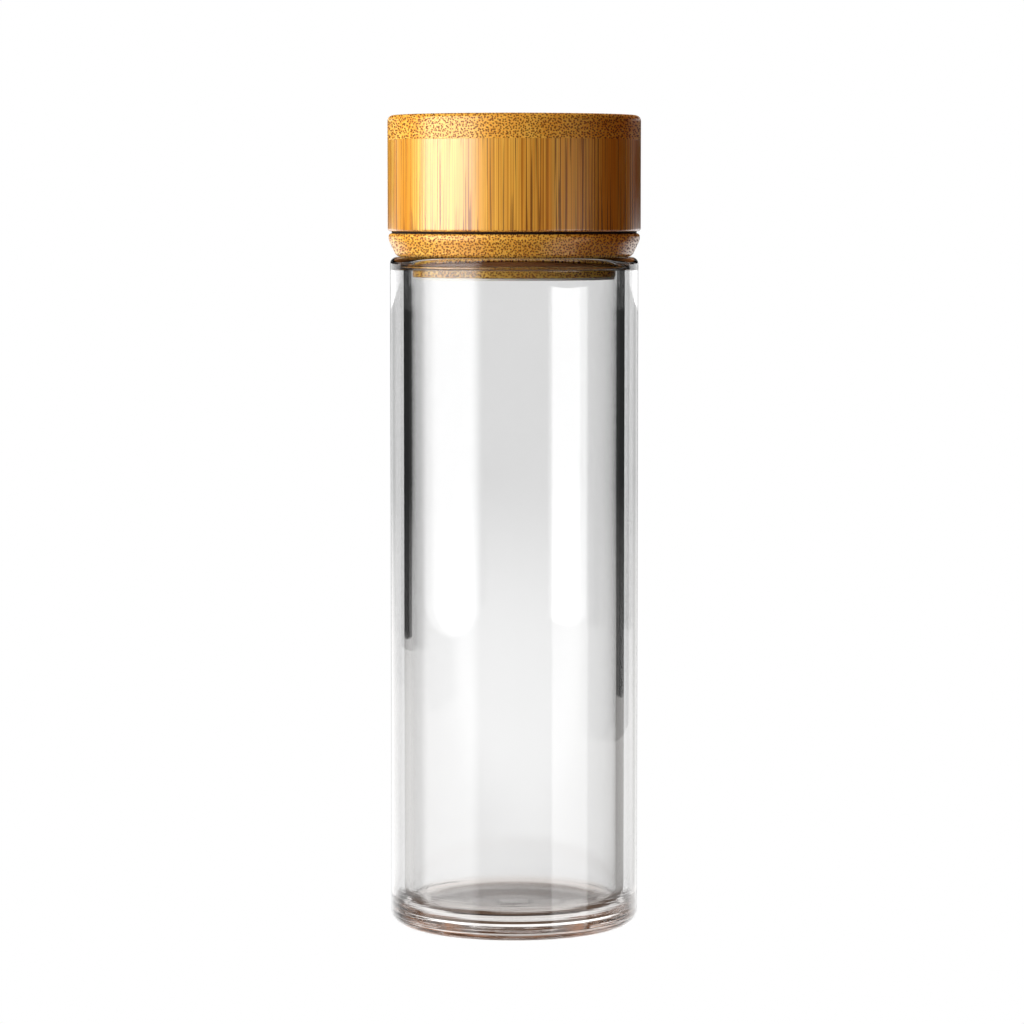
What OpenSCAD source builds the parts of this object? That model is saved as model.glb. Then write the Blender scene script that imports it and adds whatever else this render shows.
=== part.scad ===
// Double-wall glass water bottle with a bamboo stopper and a bamboo screw cap.
// Millimetres, +Z up. The origin is the middle of the base, on the surface that the bottle stands on.

/* [Glass body] */
// Outside diameter of the glass
glass_d = 67.8; // [66:0.2:72]
// Height of the glass rim above the table
glass_h = 183; // [140:1:220]
// Diameter of the mouth, which is also the inside of the inner wall
mouth_d = 56.2; // [52:0.2:57]
// Thickness of the inner wall
inner_wall = 2.1; // [1.6:0.1:2.4]
// Thickness of the outer wall
outer_wall = 1; // [0.8:0.1:1.4]
// Height of the solid base's top face above the table
base_t = 3.4; // [3:0.1:3.8]
// Height of the inner floor above the table
floor_z = 6.4; // [6.2:0.1:9]

/* [Lid] */
// Diameter of the bamboo cap
cap_d = 69; // [68:0.5:74]
// Height of the bamboo cap
cap_h = 31.4; // [30:0.2:38]
// Thickness of the cap's top disc
top_disc_t = 6.7; // [4:0.1:7]
// Height of the bamboo collar
collar_h = 6.3; // [5.8:0.1:8]
// Widest diameter of the bamboo collar
collar_d = 68.6; // [66:0.2:72]
// Height of the plug below the collar
plug_h = 5.5; // [5.4:0.1:9]
// Shadow gap between the collar and the cap
cap_gap = 0.6; // [0.4:0.1:1.2]

/* [Drinking neck and thread] */
// Bore of the drinking neck
bore_d = 38; // [34:0.5:40]
// Wall of the drinking neck
neck_wall = 1.8; // [1.5:0.1:2]
// Rise of the cap for each turn
pitch = 4; // [3.6:0.1:4.4]
// Turns of thread on the neck
neck_turns = 1.25; // [1:0.05:1.4]
// Turns of thread in the cap
cap_turns = 0.9; // [0.7:0.05:1]

/* [Hidden] */

turn_fn = 128;      // segments of a turned part
arc_steps = 8;      // segments of a rounded edge in an outline

// Glass
glass_r = glass_d / 2;
mouth_r = mouth_d / 2;
foot_round = 3.2;                               // outside radius where the wall meets the foot
shoulder_round = 2.0;                           // outside radius of the rim
lip_round = 1.2;                                // inside radius of the rim
outer_in_r = glass_r - outer_wall;              // inside of the outer wall
inner_out_r = mouth_r + inner_wall;             // outside of the inner wall
arch_r = (outer_in_r - inner_out_r) / 2;        // the gap between the walls ends in a round arch
arch_x = (outer_in_r + inner_out_r) / 2;
arch_z = glass_h - 2.2 - arch_r;
weld_r = glass_r - shoulder_round;              // the two walls are fused on this cylinder
weld_x = max(-0.95, min(0.95, (weld_r - arch_x) / arch_r));
weld_angle = acos(weld_x);
base_fillet = 4.7;                              // the solid base rises to the outer wall
floor_t = 2;                                    // the inner vessel's floor
floor_round = 3.9;                              // inside radius between inner wall and floor
foot_r = 24;                                    // inside edge of the flat foot
punt_h = 1;                                     // hollow under the base
recess_r = 13.5;                                // deeper recess round the sealed stub
recess_z = 2;
tip_r = 5.2;                                    // the sealed stub of the exhaust tube
tip_h = 1.4;

// Stack of the lid, from the rim upwards
seat_clear = 0.05;
collar_z = glass_h + seat_clear;                // underside of the collar, which sits on the rim
collar_top = collar_z + collar_h;
cap_z = collar_top + cap_gap;                   // underside of the cap
cap_top_z = cap_z + cap_h;
disc_z = cap_top_z - top_disc_t;                // underside of the top disc

// The collar's raised ring, which centres the cap and closes the shadow gap
register_r = 33.4;
register_h = cap_gap + 1.4;
register_clear = 0.25;

// Stopper
plug_r = mouth_r - 0.4;
plug_z = collar_z - plug_h;
flange_t = 0.6;                                 // thin flange that shows below the plug
neck_z = plug_z - flange_t;
bore_r = bore_d / 2;
neck_r = bore_r + neck_wall;
neck_hole_r = neck_r + 0.15;                    // bore of the bamboo discs round the neck
neck_flange_r = 25.5;
neck_flange_t = 1.4;
ring_body_r = 24.2;                             // clamp ring inside the plug's counterbore
counterbore_r = ring_body_r + 0.2;
counterbore_z = plug_z + 4;
ring_top_z = counterbore_z - 1.5;
o_ring_r = 0.7;                                 // radius of the O-ring's section
seal_groove_z = plug_z + 3;                     // groove round the plug for its seal
seal_groove_h = 1.8;
seal_groove_r = plug_r - 1.3;

// Screw cap
cap_r = cap_d / 2;
cap_edge = 1.5;                                 // rounding of the cap's top edge
sleeve_edge = 0.7;                              // rounding of the cap's bottom edge
liner_top = disc_z - 0.2;
liner_roof = 1.6;
cap_gasket_t = 1.5;
cap_gasket_z = liner_top - liner_roof - cap_gasket_t - 0.05;
lip_z = cap_gasket_z - 0.05;                    // top of the drinking neck
lip_edge = 0.6;
thread_in_crest = neck_r + 1.15;                // crest of the neck's thread
liner_in_r = neck_r + 1.55;                     // inside of the liner's skirt
thread_out_crest = neck_r + 0.4;                // crest of the cap's thread
liner_wall = 1.25;
liner_r = liner_in_r + liner_wall;
rib_h = 0.4;                                    // glue ribs on the liner
rib_w = 1.2;
rib_count = 16;
sleeve_bore_r = liner_r + rib_h + 0.1;
liner_z = cap_z + 0.8;
thread_z = collar_top + 7.2;                    // where the neck's thread begins
thread_drop = 1.45;                             // the cap's thread runs this far under the neck's
thread_bite = 0.4;                              // depth of a thread's root inside its wall
thread_steps = 48;                              // steps of a thread in one turn
run_out = 30;                                   // degrees over which a thread's end fades

// Points of an arc about (x, z), from angle a to angle b
function arc(x, z, r, a, b, n = arc_steps) =
    [for (i = [0:n]) let (t = a + (b - a) * i / n) [x + r * cos(t), z + r * sin(t)]];

// A point at radius r, height z and turning angle a
function around(r, z, a) = [r * cos(a), r * sin(a), z];

module turned(outline) {
    rotate_extrude($fn = turn_fn) polygon(outline);
}

// A right-hand helical ridge. in_half and out_half are half its width at its inner and outer radius;
// crest_out says whether the crest is the outer one, and the crest fades to the root at both ends.
module helix_ridge(z, turns, in_r, in_half, out_r, out_half, crest_out) {
    last = round(turns * thread_steps);
    fade = run_out * thread_steps / 360;
    points = [
        for (i = [0:last])
            let (
                a = i * 360 / thread_steps,
                rise = z + pitch * i / thread_steps,
                grown = min(1, 0.08 + min(i, last - i) / fade),
                a_r = crest_out ? in_r : out_r + (in_r - out_r) * grown,
                b_r = crest_out ? in_r + (out_r - in_r) * grown : out_r
            )
            each [
                around(a_r, rise - in_half, a),
                around(b_r, rise - out_half, a),
                around(b_r, rise + out_half, a),
                around(a_r, rise + in_half, a)
            ]
    ];
    sides = [
        for (i = [0:last - 1], j = [0:3])
            let (k = (j + 1) % 4, p = 4 * i, q = 4 * (i + 1))
            each [[p + j, p + k, q + k], [p + j, q + k, q + j]]
    ];
    end = 4 * last;
    caps = [[3, 2, 1], [3, 1, 0], [end, end + 1, end + 2], [end, end + 2, end + 3]];
    polyhedron(points, concat(sides, caps));
}

module outer_glass() {
    step = 1.2;
    punt_r = recess_r + step;
    punt = [for (i = [0:8]) let (t = i / 8) [punt_r + (foot_r - punt_r) * t, punt_h * (1 - t * t)]];
    color("lightcyan", 0.3)
        turned(concat(
            [[0, recess_z], [recess_r, recess_z]],
            punt,
            arc(glass_r - foot_round, foot_round, foot_round, -90, 0),
            arc(weld_r, glass_h - shoulder_round, shoulder_round, 0, 90),
            arc(arch_x, arch_z, arch_r, weld_angle, 0),
            arc(outer_in_r - base_fillet, base_t + base_fillet, base_fillet, 0, -90),
            [[0, base_t]]
        ));
}

module inner_glass() {
    under_round = floor_round + inner_wall;
    color("lightcyan", 0.3)
        turned(concat(
            [[0, floor_z - floor_t]],
            arc(inner_out_r - under_round, floor_z - floor_t + under_round, under_round, -90, 0),
            arc(arch_x, arch_z, arch_r, 180, weld_angle),
            [[weld_r, glass_h]],
            arc(mouth_r + lip_round, glass_h - lip_round, lip_round, 90, 180),
            arc(mouth_r - floor_round, floor_z + floor_round, floor_round, 0, -90),
            [[0, floor_z]]
        ));
}

// The stub left where the air between the walls was drawn off
module seal_tip() {
    color("lightcyan", 0.3)
        turned(concat(
            [[0, recess_z]],
            [for (i = [0:8]) let (t = i * 90 / 8) [tip_r * sin(t), recess_z - tip_h * cos(t)]]
        ));
}

module collar() {
    taper = 24;
    belly_round = 3;
    belly_z = collar_top - 1;
    top_round = 0.8;
    foot_edge = 0.8;
    top_edge = 0.3;
    r = collar_d / 2;
    belly = arc(r - belly_round, belly_z, belly_round, 0, -taper);
    foot_drop = belly[arc_steps][1] - collar_z - foot_edge;
    foot_x = belly[arc_steps][0] - foot_drop * tan(taper) - foot_edge;
    color("burlywood")
        turned(concat(
            [[neck_hole_r, collar_z]],
            arc(foot_x, collar_z + foot_edge, foot_edge, -90, -taper),
            [for (i = [0:arc_steps]) belly[arc_steps - i]],
            arc(r - top_round, collar_top - top_round, top_round, 0, 90),
            [[register_r, collar_top]],
            arc(register_r - top_edge, collar_top + register_h - top_edge, top_edge, 0, 90, 4),
            [[neck_flange_r + 0.2, collar_top + register_h]],
            [[neck_flange_r + 0.2, collar_top - neck_flange_t]],
            [[neck_hole_r, collar_top - neck_flange_t]]
        ));
}

module plug() {
    edge = 0.4;
    color("burlywood")
        turned([
            [counterbore_r, plug_z],
            [plug_r - edge, plug_z],
            [plug_r, plug_z + edge],
            [plug_r, seal_groove_z],
            [seal_groove_r, seal_groove_z],
            [seal_groove_r, seal_groove_z + seal_groove_h],
            [plug_r, seal_groove_z + seal_groove_h],
            [plug_r, collar_z],
            [neck_hole_r, collar_z],
            [neck_hole_r, counterbore_z],
            [counterbore_r, counterbore_z]
        ]);
}

// A silicone ring whose outside edge is rounded to wipe the mouth
module plug_seal() {
    half = (seal_groove_h - 0.1) / 2;
    seal_r = mouth_r - 0.15;
    seal_z = seal_groove_z + seal_groove_h / 2;
    color("whitesmoke")
        turned(concat(
            [[seal_groove_r + 0.05, seal_z - half]],
            arc(seal_r - half, seal_z, half, -90, 90),
            [[seal_groove_r + 0.05, seal_z + half]]
        ));
}

module neck() {
    color("white") {
        turned(concat(
            [[bore_r, neck_z], [neck_r, neck_z]],
            [[neck_r, collar_top - neck_flange_t], [neck_flange_r, collar_top - neck_flange_t]],
            [[neck_flange_r, collar_top], [neck_r, collar_top]],
            arc(neck_r - lip_edge, lip_z - lip_edge, lip_edge, 0, 90),
            arc(bore_r + lip_edge, lip_z - lip_edge, lip_edge, 90, 180)
        ));
        helix_ridge(thread_z, neck_turns, neck_r - thread_bite, 1.1, thread_in_crest, 0.45, true);
    }
}

module neck_o_ring() {
    color("whitesmoke")
        rotate_extrude($fn = turn_fn)
            translate([neck_r + 0.1 + o_ring_r, ring_top_z + 0.05 + o_ring_r])
                circle(o_ring_r, $fn = 32);
}

module clamp_ring() {
    clamp_bore_r = neck_r + 0.05;
    color("white")
        turned([
            [clamp_bore_r, neck_z],
            [plug_r - 0.3, neck_z],
            [plug_r - 0.3, plug_z],
            [ring_body_r, plug_z],
            [ring_body_r, ring_top_z],
            [clamp_bore_r, ring_top_z]
        ]);
}

module cap_gasket() {
    color("whitesmoke")
        translate([0, 0, cap_gasket_z]) cylinder(h = cap_gasket_t, r = liner_in_r - 0.35, $fn = turn_fn);
}

module cap_liner() {
    bead_r = liner_in_r - 0.55;
    color("white") {
        turned([
            [0, liner_top - liner_roof],
            [liner_in_r, liner_top - liner_roof],
            [liner_in_r, cap_gasket_z - 0.1],
            [bead_r, cap_gasket_z - 0.4],
            [bead_r, cap_gasket_z - 0.8],
            [liner_in_r, cap_gasket_z - 1.1],
            [liner_in_r, liner_z],
            [liner_r, liner_z],
            [liner_r, liner_top],
            [0, liner_top]
        ]);
        helix_ridge(thread_z - thread_drop, cap_turns, thread_out_crest, 0.4, liner_in_r + thread_bite, 1, false);
        for (i = [0:rib_count - 1])
            rotate([0, 0, i * 360 / rib_count])
                translate([liner_r - 0.3, -rib_w / 2, liner_z + 1])
                    cube([rib_h + 0.3, rib_w, liner_top - liner_z - 3]);
    }
}

module cap_sleeve() {
    bore_edge = 0.5;
    rebate_r = register_r + register_clear;
    rebate_z = collar_top + register_h + 0.5;
    color("peru")
        turned(concat(
            [[rebate_r, rebate_z], [rebate_r, cap_z]],
            arc(cap_r - sleeve_edge, cap_z + sleeve_edge, sleeve_edge, -90, 0),
            [[cap_r, disc_z], [sleeve_bore_r, disc_z]],
            [[sleeve_bore_r, rebate_z + bore_edge], [sleeve_bore_r + bore_edge, rebate_z]]
        ));
}

module cap_top() {
    color("sandybrown")
        turned(concat(
            [[0, disc_z], [cap_r, disc_z]],
            arc(cap_r - cap_edge, cap_top_z - cap_edge, cap_edge, 0, 90),
            [[0, cap_top_z]]
        ));
}

outer_glass();
inner_glass();
seal_tip();
collar();
plug();
plug_seal();
neck();
neck_o_ring();
clamp_ring();
cap_gasket();
cap_liner();
cap_sleeve();
cap_top();
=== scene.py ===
"""Double-wall glass water bottle with a bamboo stopper and screw cap."""

import math

import bmesh
import bpy
from bpy.props import FloatProperty, FloatVectorProperty, IntProperty, PointerProperty
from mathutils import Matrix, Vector


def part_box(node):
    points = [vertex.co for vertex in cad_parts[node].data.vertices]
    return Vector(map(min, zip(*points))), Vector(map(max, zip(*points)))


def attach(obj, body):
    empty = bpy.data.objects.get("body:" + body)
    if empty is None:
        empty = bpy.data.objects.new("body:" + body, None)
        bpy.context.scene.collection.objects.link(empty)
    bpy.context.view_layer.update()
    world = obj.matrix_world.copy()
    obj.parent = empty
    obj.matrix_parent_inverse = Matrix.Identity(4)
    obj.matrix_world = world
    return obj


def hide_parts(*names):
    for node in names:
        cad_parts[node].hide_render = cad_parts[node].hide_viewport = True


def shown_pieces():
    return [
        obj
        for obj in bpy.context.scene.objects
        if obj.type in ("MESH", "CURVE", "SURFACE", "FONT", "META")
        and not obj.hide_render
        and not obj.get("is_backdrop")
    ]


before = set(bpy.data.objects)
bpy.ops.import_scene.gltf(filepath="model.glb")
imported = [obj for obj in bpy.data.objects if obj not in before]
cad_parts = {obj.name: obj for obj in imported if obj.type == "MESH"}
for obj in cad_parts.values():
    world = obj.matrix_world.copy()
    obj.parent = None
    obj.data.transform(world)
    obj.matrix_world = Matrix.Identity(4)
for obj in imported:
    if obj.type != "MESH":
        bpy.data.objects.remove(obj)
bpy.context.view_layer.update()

bl_info = {
    "name": "Glass Bottle",
    "version": (1, 0, 0),
    "blender": (4, 5, 0),
    "location": "View3D > Sidebar > Bottle",
    "description": "Builds a double-wall glass bottle with a bamboo lid round its CAD frame",
    "category": "Object",
}

MM = 0.001


def top_of(node):
    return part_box(node)[1].z


def foot_of(node):
    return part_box(node)[0].z


def radius_of(node):
    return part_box(node)[1].x


def length(name, description, default):
    return FloatProperty(
        name=name, description=description, default=default, min=0.0, precision=5, unit="LENGTH"
    )


def colour(name, description, default):
    return FloatVectorProperty(
        name=name, description=description, default=default, size=3, min=0.0, max=1.0, subtype="COLOR"
    )


class GlassSizes(bpy.types.PropertyGroup):
    outside: length("Outside radius", "Radius of the outer wall", radius_of("outer_glass"))
    height: length("Height", "Height of the rim above the table", top_of("outer_glass"))
    wall: length("Outer wall", "Thickness of the outer wall", 1.0 * MM)
    gap_inside: length("Gap radius", "Outside radius of the inner wall", 30.2 * MM)
    mouth: length("Mouth radius", "Inside radius of the inner wall", 28.1 * MM)
    floor: length("Floor", "Height of the inner floor", 6.4 * MM)
    floor_wall: length("Floor wall", "Thickness of the inner floor", 2.0 * MM)
    base: length("Base", "Height of the solid base's top face", 3.4 * MM)
    rim: length("Rim", "Height of the solid glass above the gap", 2.2 * MM)
    recess: length("Recess", "Radius of the recess round the stub", 13.5 * MM)
    foot: length("Foot", "Inside radius of the flat foot", 24.0 * MM)
    foot_round: length("Foot rounding", "Rounding between the wall and the foot", 3.2 * MM)
    shoulder: length("Shoulder", "Rounding of the rim's outer edge", 2.0 * MM)
    lip: length("Lip", "Rounding of the rim's inner edge", 1.2 * MM)
    floor_round: length("Floor rounding", "Rounding between the inner wall and floor", 3.9 * MM)
    floor_under: length("Underside rounding", "Rounding under the inner vessel", 6.0 * MM)
    base_fillet: length("Base fillet", "Fillet between the base and the outer wall", 4.7 * MM)
    steps: IntProperty(name="Steps", description="Segments round the glass", default=240, min=24, max=360)


class LidSizes(bpy.types.PropertyGroup):
    cap_bore: length("Cap bore", "Radius of the hole in the bamboo sleeve", 24.1 * MM)
    cap_edge: length("Cap edge", "Rounding of the cap's top edge", 1.6 * MM)
    gap: length("Shadow gap", "Gap between the collar and the cap", 0.6 * MM)
    register: length("Register radius", "Radius of the collar's raised ring", 33.4 * MM)
    register_play: length("Register play", "Room round and above the raised ring", 0.25 * MM)
    collar_bore: length("Collar bore", "Radius of the hole in collar and plug", 20.95 * MM)
    flange_seat: length("Flange seat", "Radius of the recess for the neck's flange", 25.7 * MM)
    seal_groove: length("Seal groove", "Radius at the bottom of the plug's groove", 26.4 * MM)
    seat: length("Counterbore", "Radius of the counterbore under the plug", 24.4 * MM)
    seat_depth: length("Counterbore depth", "Depth of the counterbore under the plug", 4.0 * MM)
    flange: length("Flange", "Depth of the recess for the neck's flange", 1.4 * MM)
    groove_foot: length("Groove height", "Height of the seal's groove above the plug's foot", 3.0 * MM)
    groove: length("Groove", "Width of the seal's groove", 1.8 * MM)
    steps: IntProperty(name="Steps", description="Segments round the bamboo", default=240, min=24, max=360)


class BambooFinish(bpy.types.PropertyGroup):
    pale: colour("Pale fibre", "Colour of the pale fibres", (0.90, 0.60, 0.11))
    golden: colour("Golden fibre", "Colour of the golden fibres", (0.80, 0.37, 0.04))
    amber: colour("Amber thread", "Colour of the thin darker threads", (0.44, 0.14, 0.008))
    brown: colour("Vessel", "Colour of the dark vessels", (0.15, 0.038, 0.003))
    # Painted shade: the dark colour painted into the shadow gap between the collar and the cap
    painted_gap_shade: colour("Painted_gap_shade", "Colour of the groove under the cap", (0.012, 0.005, 0.002))
    roughness: FloatProperty(
        name="Roughness", description="Roughness of the lacquer", default=0.3, min=0.0, max=1.0
    )


class GlassFinish(bpy.types.PropertyGroup):
    tint: colour("Tint", "Colour of the glass", (0.981, 0.981, 0.981))
    base_tint: colour("Base tint", "Colour of the thick glass in the base", (0.91, 0.875, 0.85))
    bend: FloatProperty(
        name="Refractive index", description="How strongly it bends light", default=1.5, min=1.0, max=2.0
    )


class StudioSettings(bpy.types.PropertyGroup):
    distance: length("Distance", "From the bottle's axis to the camera", 1.053)
    height: length("Height", "Height of the camera above the table", 0.1978)
    aside: length("Aside", "How far left of the bottle's axis the camera stands", 0.6 * MM)
    tilt: FloatProperty(
        name="Tilt", description="Angle below the horizon", default=math.radians(4.6), subtype="ANGLE"
    )
    lens: FloatProperty(name="Lens", description="Focal length", default=135.35, unit="CAMERA")
    key: FloatProperty(
        name="Key light", description="Brightness of the light on the lid", default=5.04, min=0.0
    )
    softbox: FloatProperty(
        name="Softboxes", description="Brightness of what the glass reflects", default=2.8, min=0.0
    )


# Shader sums


class Wire:
    """A shader output that can be used in Python sums."""

    def __init__(self, sheet, socket):
        self.sheet = sheet
        self.socket = socket

    def __add__(self, other):
        return self.sheet.sum("ADD", self, other)

    def __radd__(self, other):
        return self.sheet.sum("ADD", other, self)

    def __sub__(self, other):
        return self.sheet.sum("SUBTRACT", self, other)

    def __rsub__(self, other):
        return self.sheet.sum("SUBTRACT", other, self)

    def __mul__(self, other):
        return self.sheet.sum("MULTIPLY", self, other)

    def __rmul__(self, other):
        return self.sheet.sum("MULTIPLY", other, self)

    def __gt__(self, other):
        return self.sheet.sum("GREATER_THAN", self, other)

    def __lt__(self, other):
        return self.sheet.sum("LESS_THAN", self, other)

    def __abs__(self):
        return self.sheet.sum("ABSOLUTE", self, 0.0)


class Sheet:
    """The nodes of one finish."""

    def __init__(self, tree):
        self.tree = tree
        self.tree.nodes.clear()

    def node(self, kind, settings=None, sockets=None, output=0):
        made = self.tree.nodes.new(kind)
        for name, value in (settings or {}).items():
            setattr(made, name, value)
        for name, value in (sockets or {}).items():
            socket = made.inputs[name]
            if isinstance(value, Wire):
                self.tree.links.new(value.socket, socket)
            else:
                socket.default_value = value
        return Wire(self, made.outputs[output])

    def sum(self, operation, a, b):
        return self.node("ShaderNodeMath", {"operation": operation}, {0: a, 1: b})

    def mix(self, share, a, b):
        """Two colours mixed, with share of the second."""
        a, b = [(*tone, 1.0) if isinstance(tone, tuple) and len(tone) == 3 else tone for tone in (a, b)]
        return self.node(
            "ShaderNodeMix", {"data_type": "RGBA", "clamp_factor": True}, {0: share, 6: a, 7: b}, output=2
        )

    def between(self, value, low, high):
        """0 below low and 1 above high, with a smooth step between them."""
        return self.node(
            "ShaderNodeMapRange", {"interpolation_type": "SMOOTHSTEP"},
            {"Value": value, "From Min": low, "From Max": high},
        )

    def blended(self, share, a, b):
        """Two plain values mixed, with share of the second."""
        return self.node("ShaderNodeMix", {"data_type": "FLOAT"}, {0: share, 2: a, 3: b})

    def part(self, vector, axis):
        """One part of a vector: 0 for X, 1 for Y, 2 for Z."""
        return self.node("ShaderNodeSeparateXYZ", {}, {"Vector": vector}, output=axis)

    def span(self, vector):
        """The length of a vector."""
        return self.node("ShaderNodeVectorMath", {"operation": "LENGTH"}, {0: vector}, output=1)

    def place(self, scale=(1.0, 1.0, 1.0), turn=(0.0, 0.0, 0.0), shift=(0.0, 0.0, 0.0)):
        """Object coordinates, scaled, turned and shifted."""
        here = self.node("ShaderNodeTexCoord", output=3)
        return self.node(
            "ShaderNodeMapping", {}, {"Vector": here, "Scale": scale, "Rotation": turn, "Location": shift}
        )

    def noise(self, vector, size, detail=2.0, roughness=0.5, distortion=0.0):
        return self.node("ShaderNodeTexNoise", {"noise_dimensions": "3D"}, {
            "Vector": vector, "Scale": size,
            "Detail": detail, "Roughness": roughness, "Distortion": distortion,
        })

    def bump(self, height, strength, depth):
        return self.node("ShaderNodeBump", {}, {"Height": height, "Strength": strength, "Distance": depth})


class Finish(Sheet):
    """A material being put together."""

    def __init__(self, name):
        self.material = bpy.data.materials.new(name)
        self.material.use_nodes = True
        super().__init__(self.material.node_tree)

    def done(self, sockets):
        return self.shown(self.node("ShaderNodeBsdfPrincipled", {}, sockets))

    def blend(self, share, first, second):
        return self.shown(self.node("ShaderNodeMixShader", {}, {0: share, 1: first, 2: second}))

    def shown(self, surface):
        out = self.tree.nodes.new("ShaderNodeOutputMaterial")
        self.tree.links.new(surface.socket, out.inputs["Surface"])
        return self.material


def upright_bamboo(look):
    """Bamboo with its fibres standing up, cut round on a lathe."""
    f = Finish("bamboo_upright")
    height = f.part(f.place((1000.0, 1000.0, 1000.0)), 2)
    foot = 1.0 - f.between(height, 190.0, 206.0)
    fibre = f.noise(f.place((3600.0, 3600.0, 10.0)), 1.0, 3.0, 0.6)
    thread = f.noise(f.place((4200.0, 4200.0, 9.0), shift=(3.0, 1.0, 0.0)), 1.0, 1.0, 0.5)
    vessel = f.noise(f.place((2000.0, 2000.0, 24.0), shift=(7.0, 3.0, 0.0)), 1.0, 1.0, 0.5)
    broad = f.noise(f.place((150.0, 150.0, 5.0), shift=(2.0, 9.0, 0.0)), 1.0, 2.0, 0.5)
    strips = f.node(
        "ShaderNodeTexWhiteNoise", {"noise_dimensions": "3D"},
        {"Vector": f.node(
            "ShaderNodeVectorMath", {"operation": "SNAP"},
            {0: f.place((1000.0, 1000.0, 1.0), shift=(1.3, 4.0, 500.0)), 1: (5.6, 19.0, 1000.0)})},
    )
    ground = f.mix(f.between(fibre * 0.5 + broad * 0.5, 0.4, 0.6), look.golden[:], look.pale[:])
    tone = f.mix((strips - 0.5) * 0.3 + 0.15, ground, look.golden[:])
    line = f.between(thread + (strips - 0.5) * 0.1, 0.48, 0.6)
    streak = f.between(vessel + foot * 0.05, 0.59, 0.65)
    wood = f.mix(streak * 0.8, f.mix(line * 0.85, tone, look.amber[:]), look.brown[:])
    return f.done({
        "Base Color": wood,
        "Roughness": look.roughness + streak * 0.15 + (fibre - 0.5) * 0.15,
        "Normal": f.bump(1.0 - streak * 0.8 + fibre * 0.3, 0.25, 0.05 * MM),
        "Coat Weight": 0.6, "Coat Roughness": 0.2,
    })


def end_grain_bamboo(look, groove=None):
    """Bamboo with its fibres lying along Y, so that the cut ends show as specks.

    A groove (low, high, inner radius, outer radius) gets painted shade: the shadow gap under the cap is
    painted dark.
    """
    f = Finish("bamboo_end_grain")
    gap_shade = 0.0
    if groove:
        low, high, inner, outer = groove
        height, away = f.part(f.place(), 2), f.span(f.place((1.0, 1.0, 0.0)))
        # Painted shade: the mask of the shadow gap, which is painted dark, dull and without coat
        gap_shade = (height > low) * (height < high) * (away > inner) * (away < outer)
    warp = f.noise(f.place((1800.0, 60.0, 1800.0)), 1.0, 2.0, 0.6)
    drift = f.node("ShaderNodeTexNoise", {"noise_dimensions": "3D"}, {
        "Vector": f.place((60.0, 60.0, 60.0)), "Scale": 1.0, "Detail": 1.0}, output=1)
    ends = f.node("ShaderNodeVectorMath", {"operation": "ADD"}, {
        0: f.place((1000.0, 1000.0, 1000.0), turn=(-math.pi / 2, 0.0, 0.0)), 1: drift})
    specks = f.node(
        "ShaderNodeTexVoronoi", {"feature": "F1", "voronoi_dimensions": "2D"},
        {"Vector": ends, "Scale": 1.5, "Randomness": 0.9},
    )
    fibre = f.noise(f.place((2600.0, 30.0, 2600.0)), 1.0, 2.0, 0.5)
    broad = f.noise(f.place((120.0, 20.0, 120.0)), 1.0, 2.0, 0.5)
    ground = f.mix(f.between(fibre * 0.7 + broad * 0.3, 0.38, 0.6), look.golden[:], look.pale[:])
    speck = 1.0 - f.between(specks + (warp - 0.5) * 0.5, 0.2, 0.36)
    halo = 1.0 - f.between(specks + (fibre - 0.5) * 0.5, 0.28, 0.58)
    wood = f.mix(speck * 0.95, f.mix(halo * 0.45, ground, look.amber[:]), look.brown[:])
    return f.done({
        "Base Color": f.mix(gap_shade, wood, look.painted_gap_shade[:]),
        "Roughness": look.roughness + 0.08 + speck * 0.2 + gap_shade * 0.4,
        "Normal": f.bump(1.0 - speck, 0.25, 0.04 * MM),
        "Coat Weight": (1.0 - speck) * (1.0 - gap_shade) * 0.45, "Coat Roughness": 0.22,
        "Specular IOR Level": 0.3,
    })


def clear_glass(look):
    """Borosilicate glass, rippled and a little darker in its thick base."""
    f = Finish("bottle_glass")
    height = f.part(f.place((1000.0, 1000.0, 1000.0)), 2)
    near_base = 1.0 - f.between(height, 6.0, 13.0)
    in_base = 1.0 - f.between(height, 3.0, 7.5)
    ripple = f.noise(f.place((13.0, 13.0, 1000.0)), 1.0, 2.0, 0.5, 0.3) * near_base
    wave = f.noise(f.place((55.0, 55.0, 6.0)), 1.0, 1.0, 0.5)
    cloud = f.noise(f.place((40.0, 40.0, 40.0)), 1.0, 2.0, 0.5)
    clear = tuple(min(1.0, c + 0.012) for c in look.tint)
    return f.done({
        "Base Color": f.mix(in_base, f.mix(cloud, look.tint[:], clear), look.base_tint[:]),
        "Roughness": cloud * 0.012,
        "Normal": f.bump(ripple * 0.8 + wave * 0.04, 0.5, 0.5 * MM),
        "IOR": look.bend,
        "Transmission Weight": 1.0,
    })


def moulded_plastic():
    """Off-white polypropylene with a fine moulded grain."""
    f = Finish("polypropylene")
    cloud = f.noise(f.place((90.0, 90.0, 90.0)), 1.0, 3.0, 0.5)
    grain = f.noise(f.place((2600.0, 2600.0, 2600.0)), 1.0, 2.0, 0.5)
    return f.done({
        "Base Color": f.mix(cloud, (0.80, 0.79, 0.76), (0.87, 0.86, 0.83)),
        "Roughness": 0.34 + grain * 0.14,
        "Normal": f.bump(grain, 0.08, 0.02 * MM),
        "Subsurface Weight": 0.2, "Subsurface Scale": 0.002,
    })


def seal_rubber():
    """Brown silicone of the plug's seal."""
    f = Finish("brown_silicone")
    cloud = f.noise(f.place((260.0, 260.0, 900.0)), 1.0, 3.0, 0.5)
    return f.done({
        "Base Color": f.mix(cloud, (0.20, 0.075, 0.02), (0.34, 0.14, 0.045)),
        "Roughness": 0.35 + cloud * 0.2,
        "Normal": f.bump(cloud, 0.1, 0.03 * MM),
    })


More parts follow.
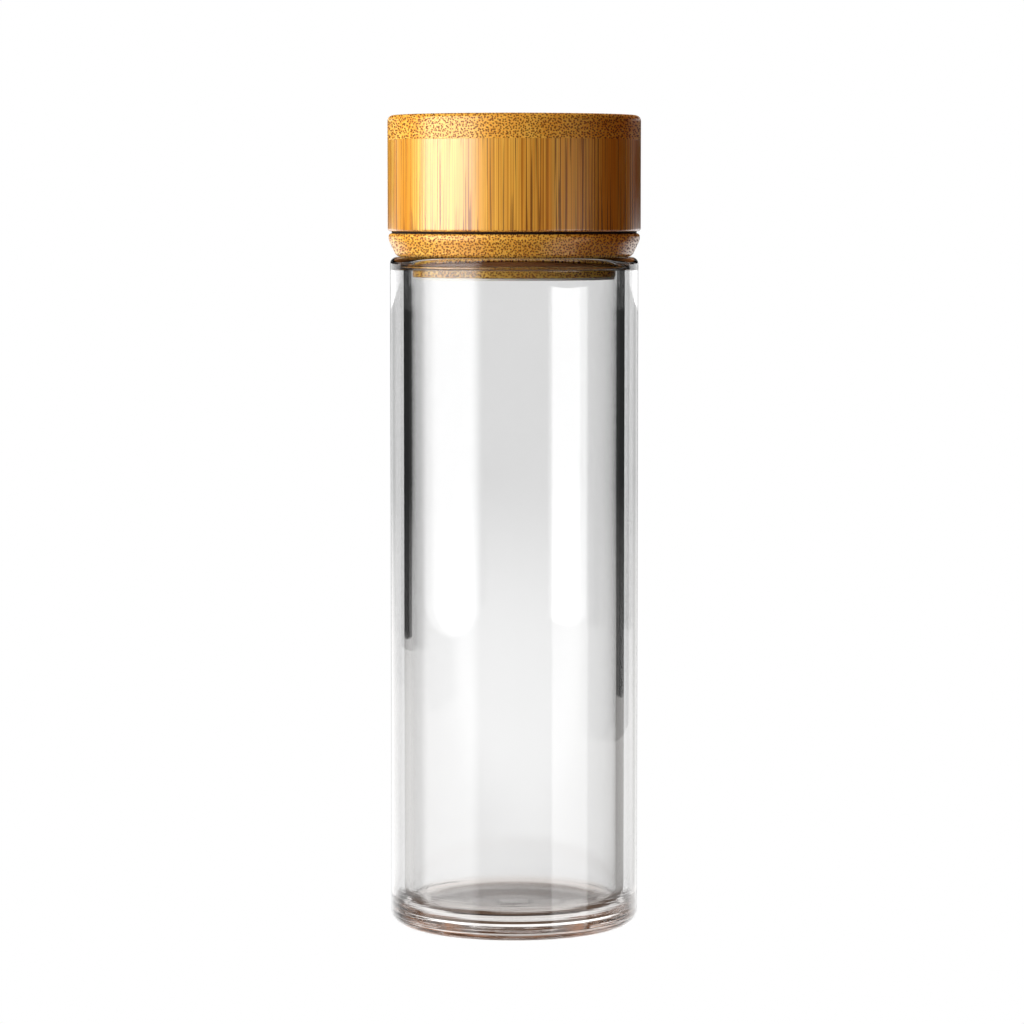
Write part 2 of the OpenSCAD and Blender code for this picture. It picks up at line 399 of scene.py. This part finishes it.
def clear_silicone():
    """Clear silicone, a little cloudy."""
    f = Finish("silicone")
    cloud = f.noise(f.place((220.0, 220.0, 220.0)), 1.0, 3.0, 0.5)
    dust = f.noise(f.place((1800.0, 1800.0, 1800.0)), 1.0, 2.0, 0.5)
    return f.done({
        "Base Color": f.mix(cloud, (0.92, 0.88, 0.80), (0.97, 0.94, 0.88)),
        "Roughness": 0.12 + dust * 0.12,
        "Normal": f.bump(dust, 0.06, 0.02 * MM),
        "IOR": 1.41, "Transmission Weight": 0.92,
    })


# Turned shapes


def outline(bm, corners, closed=False, arc=10):
    """Draws half of a section as a wire of (radius, height, rounding) corners, and rounds them."""
    spots = [Vector((x, 0.0, z)) for x, z, _ in corners]
    count = len(spots)
    chain, rounded = [], []
    for i, (spot, (_, _, rounding)) in enumerate(zip(spots, corners)):
        if not rounding:
            chain.append(bm.verts.new(spot))
            continue
        back, on = spots[i - 1] - spot, spots[(i + 1) % count] - spot
        reach = rounding * math.tan((math.pi - back.angle(on)) / 2)
        stay = min(0.15 * MM, (back.length - reach) * 0.2, (on.length - reach) * 0.2)
        chain.append(bm.verts.new(spot + back.normalized() * (reach + max(stay, 0.005 * MM))))
        chain.append(bm.verts.new(spot))
        rounded.append((chain[-1], reach))
        chain.append(bm.verts.new(spot + on.normalized() * (reach + max(stay, 0.005 * MM))))
    for a, b in zip(chain, chain[1:]):
        bm.edges.new((a, b))
    if closed:
        bm.edges.new((chain[-1], chain[0]))
    for corner, reach in rounded:
        bmesh.ops.bevel(
            bm, geom=[corner], offset=reach, offset_type="OFFSET", segments=arc,
            profile=0.5, affect="VERTICES", material=-1,
        )


def turned(corners, steps, closed=False, arc=10, hollow=False):
    """A solid of revolution about Z. A hollow one has its faces turned to the inside."""
    bm = bmesh.new()
    outline(bm, corners, closed, arc)
    bmesh.ops.spin(
        bm, geom=bm.verts[:] + bm.edges[:], cent=(0, 0, 0), axis=(0, 0, 1),
        angle=math.tau, steps=steps, use_merge=True,
    )
    bmesh.ops.remove_doubles(bm, verts=bm.verts, dist=0.001 * MM)
    bmesh.ops.recalc_face_normals(bm, faces=bm.faces)
    if hollow:
        bmesh.ops.reverse_faces(bm, faces=bm.faces)
    if any(len(edge.link_faces) != 2 for edge in bm.edges):
        raise RuntimeError("a turned shape isn't closed")
    return bm


def finished(name, parts, material, body, stands_for):
    """Joins bmeshes into one piece that rides on a body."""
    mesh = bpy.data.meshes.new(name)
    joined = bmesh.new()
    for bm in parts:
        part = bpy.data.meshes.new(name + "_part")
        bm.to_mesh(part)
        bm.free()
        joined.from_mesh(part)
        bpy.data.meshes.remove(part)
    for face in joined.faces:
        face.smooth = True
    for edge in joined.edges:
        edge.smooth = edge.calc_face_angle(0.0) < math.radians(35)
    joined.to_mesh(mesh)
    joined.free()
    mesh.materials.append(material)
    piece = bpy.data.objects.new(name, mesh)
    bpy.context.scene.collection.objects.link(piece)
    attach(piece, body)
    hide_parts(*stands_for)
    return piece


def dress(node, material):
    """Gives a CAD node its finish."""
    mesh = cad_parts[node].data
    mesh.materials.clear()
    mesh.materials.append(material)


class BOTTLE_OT_glass(bpy.types.Operator):
    """Make the two fused glass walls, their gap and the thick base"""

    bl_idname = "bottle.glass"
    bl_label = "Glass Walls"

    def execute(self, context):
        g = context.scene.bottle_glass
        stub = radius_of("seal_tip")
        stub_foot, recess = foot_of("seal_tip"), top_of("seal_tip")
        skin = turned([
            (0.0, stub_foot, 0.0),
            (stub * 0.75, stub_foot + 0.1 * MM, 1.5 * MM),
            (stub, recess, 0.3 * MM),
            (g.recess, recess, 0.3 * MM),
            (g.recess + 0.5 * MM, 1.0 * MM, 0.3 * MM),
            (g.foot - 4.0 * MM, 0.75 * MM, 8.0 * MM),
            (g.foot, 0.0, 4.0 * MM),
            (g.outside, 0.0, g.foot_round),
            (g.outside, g.height, g.shoulder),
            (g.mouth, g.height, g.lip),
            (g.mouth, g.floor, g.floor_round),
            (0.0, g.floor, 0.0),
        ], g.steps, arc=14)
        inside, under, gap_top = g.outside - g.wall, g.floor - g.floor_wall, g.height - g.rim
        arch = (inside - g.gap_inside) / 2 - 0.01 * MM
        gap = turned([
            (0.0, g.base, 0.0),
            (inside, g.base, g.base_fillet),
            (inside, gap_top, arch),
            (g.gap_inside, gap_top, arch),
            (g.gap_inside, under, g.floor_under),
            (0.0, under, 0.0),
        ], g.steps, arc=14, hollow=True)
        finished(
            "double_wall_glass", [skin, gap], clear_glass(context.scene.bottle_glass_finish),
            "vessel", ["outer_glass", "inner_glass", "seal_tip"],
        )
        return {"FINISHED"}


class BOTTLE_OT_cap(bpy.types.Operator):
    """Turn the bamboo sleeve and the bamboo disc of the screw cap"""

    bl_idname = "bottle.cap"
    bl_label = "Bamboo Cap"

    def execute(self, context):
        lid = context.scene.bottle_lid
        look = context.scene.bottle_bamboo
        foot, seam, top = foot_of("cap_sleeve"), foot_of("cap_top"), top_of("cap_top")
        outside = radius_of("cap_sleeve")
        rebate, rebate_top = lid.register + lid.register_play, top_of("collar") + 2 * lid.register_play
        sleeve = turned([
            (lid.cap_bore, rebate_top, 0.3 * MM),
            (rebate, rebate_top, 0.05 * MM),
            (rebate, foot, 0.2 * MM),
            (outside, foot, 0.7 * MM),
            (outside, seam, 0.05 * MM),
            (lid.cap_bore, seam, 0.05 * MM),
        ], lid.steps, closed=True)
        disc = turned([
            (0.0, seam, 0.0),
            (outside, seam, 0.05 * MM),
            (outside, top, lid.cap_edge),
            (0.0, top, 0.0),
        ], lid.steps)
        finished("bamboo_sleeve", [sleeve], upright_bamboo(look), "cap", ["cap_sleeve"])
        finished("bamboo_cap_disc", [disc], end_grain_bamboo(look), "cap", ["cap_top"])
        return {"FINISHED"}


class BOTTLE_OT_stopper(bpy.types.Operator):
    """Turn the bamboo collar and plug of the stopper"""

    bl_idname = "bottle.stopper"
    bl_label = "Bamboo Stopper"

    def execute(self, context):
        lid = context.scene.bottle_lid
        look = context.scene.bottle_bamboo
        low, ledge, high = foot_of("collar"), foot_of("cap_sleeve") - lid.gap, top_of("collar")
        widest = radius_of("collar")
        collar = turned([
            (lid.collar_bore, low, 0.2 * MM),
            (widest - 2.2 * MM, low, 1.6 * MM),
            (widest - 0.1 * MM, ledge - 1.9 * MM, 2.5 * MM),
            (widest - 0.02 * MM, ledge, 0.8 * MM),
            (lid.register, ledge, 0.1 * MM),
            (lid.register, high, 0.3 * MM),
            (lid.flange_seat, high, 0.1 * MM),
            (lid.flange_seat, ledge - lid.flange, 0.05 * MM),
            (lid.collar_bore, ledge - lid.flange, 0.1 * MM),
        ], lid.steps, closed=True)
        foot, side = foot_of("plug"), radius_of("plug")
        groove = foot + lid.groove_foot
        plug = turned([
            (lid.seat, foot, 0.1 * MM),
            (side, foot, 0.4 * MM),
            (side, groove, 0.1 * MM),
            (lid.seal_groove, groove, 0.05 * MM),
            (lid.seal_groove, groove + lid.groove, 0.05 * MM),
            (side, groove + lid.groove, 0.1 * MM),
            (side, low, 0.05 * MM),
            (lid.collar_bore, low, 0.05 * MM),
            (lid.collar_bore, foot + lid.seat_depth, 0.1 * MM),
            (lid.seat, foot + lid.seat_depth, 0.05 * MM),
        ], lid.steps, closed=True)
        wood = bpy.data.materials.get("bamboo_end_grain") or end_grain_bamboo(look)
        # Painted shade: the collar's ledge and raised ring inside the shadow gap under the cap are painted
        # dark
        gap_shaded_wood = end_grain_bamboo(
            look, (ledge - 0.3 * MM, high - 0.4 * MM, lid.register - 0.2 * MM, widest - 0.7 * MM))
        finished("bamboo_collar", [collar], gap_shaded_wood, "stopper", ["collar"])
        finished("bamboo_plug", [plug], wood, "stopper", ["plug"])
        return {"FINISHED"}


class BOTTLE_OT_neck_and_seals(bpy.types.Operator):
    """Give the drinking neck, the liner and the seals their finishes"""

    bl_idname = "bottle.neck_and_seals"
    bl_label = "Neck and Seals"

    def execute(self, context):
        plastic, silicone = moulded_plastic(), clear_silicone()
        for node in ("neck", "clamp_ring", "cap_liner"):
            dress(node, plastic)
        for node in ("neck_o_ring", "cap_gasket"):
            dress(node, silicone)
        dress("plug_seal", seal_rubber())
        return {"FINISHED"}


def panel(name, size, spot, aim, brightness=0.0, tone=(1.0, 1.0, 1.0)):
    """A rectangle that faces aim: a light when it has a brightness, otherwise a board."""
    if brightness:
        data = bpy.data.lights.new(name, "AREA")
        data.shape, data.size, data.size_y = "RECTANGLE", size[0], size[1]
        data.energy, data.color = brightness * math.pi * size[0] * size[1], tone
    else:
        bm = bmesh.new()
        bmesh.ops.create_grid(bm, x_segments=2, y_segments=2, size=0.5)
        bmesh.ops.scale(bm, verts=bm.verts, vec=(size[0], size[1], 1.0))
        data = bpy.data.meshes.new(name)
        bm.to_mesh(data)
        bm.free()
    made = bpy.data.objects.new(name, data)
    if not brightness:
        made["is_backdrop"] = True
    made.location = spot
    made.rotation_mode = "QUATERNION"
    made.rotation_quaternion = (Vector(aim) - Vector(spot)).to_track_quat("-Z", "Y")
    bpy.context.scene.collection.objects.link(made)
    return made


def around(distance, azimuth, height):
    """A point that far from the axis, turned azimuth degrees from the camera towards +X."""
    a = math.radians(azimuth)
    return (distance * math.sin(a), -distance * math.cos(a), height)


def bounces(sheet):
    """How often a ray has bounced off dull surfaces and off shiny ones, and passed through clear ones."""
    path = sheet.node("ShaderNodeLightPath").socket.node
    return [Wire(sheet, path.outputs[kind + " Depth"]) for kind in ("Diffuse", "Glossy", "Transmission")]


def seen_straight(sheet, dull, shiny):
    """1 where the ray has only passed through clear things on its way."""
    return 1.0 - sheet.between(dull + shiny, 0.2, 0.8)


def board_finish(name, glow=0.0, least=0, most=64, half=1.0, soft=0.01):
    """A board, dark or glowing, that only reflections see, once they have passed least to most surfaces.

    The glow fades over the last stretch, soft, before the board's edges.
    """
    felt = Finish(name)
    _, shiny, passed = bounces(felt)
    here = felt.place()
    nap = felt.mix(felt.noise(here, 60.0), (1.0, 1.0, 1.0), (0.97, 0.97, 0.97))
    fade = 1.0 - felt.between(abs(felt.part(here, 0)), half - soft, half)
    tone = felt.mix(fade, (0.0, 0.0, 0.0), nap)
    cloth = felt.node("ShaderNodeEmission", {}, {"Color": tone, "Strength": glow})
    seen = (shiny > 0.5) * (passed > least - 0.5) * (passed < most + 0.5)
    return felt.blend(seen, felt.node("ShaderNodeBsdfTransparent"), cloth)


def table_finish():
    """A white table that glows evenly to the camera. What the glass reflects of it is painted: darker on
    its right and far away, with a brown painted shadow near the foot.

    The table is turned to face up, so its own X runs to the left.
    """
    table = Finish("table_white")
    white = (1.0, 1.0, 1.0)
    dull, shiny, _ = bounces(table)
    spot = table.place()
    away = table.span(spot)
    left = table.between(table.part(spot, 0), -0.06, 0.06)
    front = 1.0 - table.between(table.part(spot, 1), -0.3, -0.05)
    far = table.between(away, 0.3, 1.8)
    beyond_foot = table.between(away, 0.038, 0.08)
    dust = table.noise(table.place((3.0, 3.0, 3.0)), 1.0)
    # Painted reflection: the table as the glass sees it is darker on its right, black far away and white
    # in front
    reflected = table.mix(left, (0.30, 0.29, 0.28), (0.72, 0.71, 0.70))
    reflected = table.mix(far, table.mix(front, reflected, white), (0.05, 0.05, 0.05))
    # Painted shadow: the reflected table turns brown round the foot
    reflected = table.mix(beyond_foot, (0.10, 0.05, 0.022), reflected)
    reflected = table.mix(dust * 0.06, reflected, white)
    tone = table.mix(seen_straight(table, dull, shiny), reflected, white)
    return table.shown(table.node("ShaderNodeEmission", {}, {"Color": tone, "Strength": 1.0}))


def studio_room():
    """A world that is plain white to the camera and warm to the bamboo.

    The glass reflects a bright back, a dark front and a brown ceiling in it.
    """
    world = bpy.data.worlds.new("studio")
    world.use_nodes = True
    sky = Sheet(world.node_tree)
    dull, shiny, passed = bounces(sky)
    straight = seen_straight(sky, dull, shiny)
    diffuse = sky.between(dull, 0.2, 0.8)
    direction = sky.node("ShaderNodeTexCoord", output=0)
    ahead, above = sky.part(direction, 1), sky.part(direction, 2)
    # 1 for rays that have passed at most two surfaces, or at most three
    after_two, after_three = 1.0 - sky.between(passed, 2.2, 2.8), 1.0 - sky.between(passed, 3.2, 3.8)
    back = sky.between(ahead, 0.05, 0.45) * (0.4 + after_two * 0.4)
    below = sky.between(above * -1.0, 0.1, 0.25) * 0.2
    middle = (sky.between(ahead, 0.66, 0.8) * 0.7 - sky.between(ahead, 0.94, 0.985) * 0.9) * after_two
    low_ceiling, high_ceiling = sky.between(above, 0.02, 0.2), sky.between(above, 0.3, 0.6)
    ceiling = (low_ceiling * after_three + high_ceiling * (1.0 - after_three)) * (1.0 - straight)
    room = 0.03 + back + below + middle + ceiling * 0.3
    tone = sky.mix(diffuse, sky.mix(ceiling, (1.0, 1.0, 1.0), (0.25, 0.095, 0.028)), (0.15, 0.058, 0.011))
    glow = sky.blended(diffuse, sky.blended(straight, room, 1.0), 1.0)
    shown = sky.node("ShaderNodeBackground", {}, {"Color": tone, "Strength": glow})
    out = sky.tree.nodes.new("ShaderNodeOutputWorld")
    sky.tree.links.new(shown.socket, out.inputs["Surface"])
    return world


class BOTTLE_OT_stage(bpy.types.Operator):
    """Set the pale table, the soft light, the dark boards and the camera"""

    bl_idname = "bottle.stage"
    bl_label = "Stage"

    def execute(self, context):
        s = context.scene.bottle_studio
        scene = context.scene

        floor = panel("floor", (12.0, 12.0), (0.0, 0.0, 0.0), (0.0, 0.0, 1.0))
        floor.data.materials.append(table_finish())
        floor.visible_diffuse = floor.visible_glossy = False

        # Boards and softboxes are only reflected. The softboxes reach below the table, which reflections
        # off the outside don't see.
        side_black = board_finish("side_board_black")
        back_black = board_finish("back_board_black", glow=0.02, least=3, most=6)
        left_white = board_finish("left_softbox_white", glow=s.softbox, most=4, half=0.51, soft=0.22)
        right_white = board_finish("right_softbox_white", glow=s.softbox, most=4, half=0.29, soft=0.06)
        for name, width, low, high, spot, finish in (
            ("left_side_board", 0.11, 0.05, 0.35, around(0.25, -111.5, 0.0), side_black),
            ("right_side_board", 0.27, 0.02, 0.42, around(0.25, 100.0, 0.0), side_black),
            ("left_back_board", 0.19, 0.05, 0.35, around(0.26, -154.0, 0.0), back_black),
            ("right_back_board", 0.19, 0.03, 0.35, around(0.26, 154.0, 0.0), back_black),
            ("left_lid_board", 0.16, 0.187, 0.232, around(0.25, -147.0, 0.0), side_black),
            ("right_lid_board", 0.16, 0.187, 0.232, around(0.25, 147.0, 0.0), side_black),
            ("left_softbox", 1.02, -0.9, 0.9, around(0.75, -63.0, 0.0), left_white),
            ("right_softbox", 0.58, -0.9, 0.158, around(0.8, 52.5, 0.0), right_white),
        ):
            middle = (low + high) / 2
            board = panel(name, (width, high - low), (spot[0], spot[1], middle), (0.0, 0.0, middle))
            board.data.materials.append(finish)
            board.visible_diffuse = False

        # The key light falls on the lid only
        lid = bpy.data.collections.new("lid")
        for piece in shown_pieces():
            if "glass" not in piece.name and "tip" not in piece.name:
                lid.objects.link(piece)
        key = panel(
            "key_light", (0.81, 0.9), around(0.75, -60.5, 0.4), (0.0, 0.0, 0.2), s.key, (1.0, 0.94, 0.87))
        key.light_linking.receiver_collection = key.light_linking.blocker_collection = lid

        scene.world = studio_room()

        camera = bpy.data.cameras.new("camera")
        camera.lens, camera.sensor_width = s.lens, 36.0
        camera.clip_start, camera.clip_end = 0.01, 50.0
        eye = bpy.data.objects.new("camera", camera)
        eye.location = (-s.aside, -s.distance, s.height)
        eye.rotation_euler = (math.pi / 2 - s.tilt, 0.0, 0.0)
        scene.collection.objects.link(eye)
        scene.camera = eye

        scene.view_settings.view_transform = "Standard"
        scene.cycles.max_bounces = 32
        scene.cycles.transmission_bounces = 32
        scene.cycles.glossy_bounces = 16
        scene.cycles.diffuse_bounces = 4
        scene.cycles.transparent_max_bounces = 16
        return {"FINISHED"}


class VIEW3D_PT_bottle(bpy.types.Panel):
    """The bottle's sizes, finishes and pieces"""

    bl_label = "Glass Bottle"
    bl_space_type = "VIEW_3D"
    bl_region_type = "UI"
    bl_category = "Bottle"

    def draw(self, context):
        for group in GROUPS.values():
            box = self.layout.box()
            settings = getattr(context.scene, group)
            for name in settings.bl_rna.properties.keys():
                if name not in ("rna_type", "name"):
                    box.prop(settings, name)
        for operator in OPERATORS:
            self.layout.operator(operator.bl_idname)


GROUPS = {
    GlassSizes: "bottle_glass",
    LidSizes: "bottle_lid",
    BambooFinish: "bottle_bamboo",
    GlassFinish: "bottle_glass_finish",
    StudioSettings: "bottle_studio",
}
OPERATORS = (BOTTLE_OT_glass, BOTTLE_OT_cap, BOTTLE_OT_stopper, BOTTLE_OT_neck_and_seals, BOTTLE_OT_stage)


def register():
    for group, name in GROUPS.items():
        bpy.utils.register_class(group)
        setattr(bpy.types.Scene, name, PointerProperty(type=group))
    for operator in OPERATORS:
        bpy.utils.register_class(operator)
    bpy.utils.register_class(VIEW3D_PT_bottle)


def unregister():
    bpy.utils.unregister_class(VIEW3D_PT_bottle)
    for operator in reversed(OPERATORS):
        bpy.utils.unregister_class(operator)
    for group, name in GROUPS.items():
        delattr(bpy.types.Scene, name)
        bpy.utils.unregister_class(group)


def main():
    register()
    bpy.ops.bottle.glass()
    bpy.ops.bottle.cap()
    bpy.ops.bottle.stopper()
    bpy.ops.bottle.neck_and_seals()
    bpy.ops.bottle.stage()


if __name__ == "__main__":
    main()
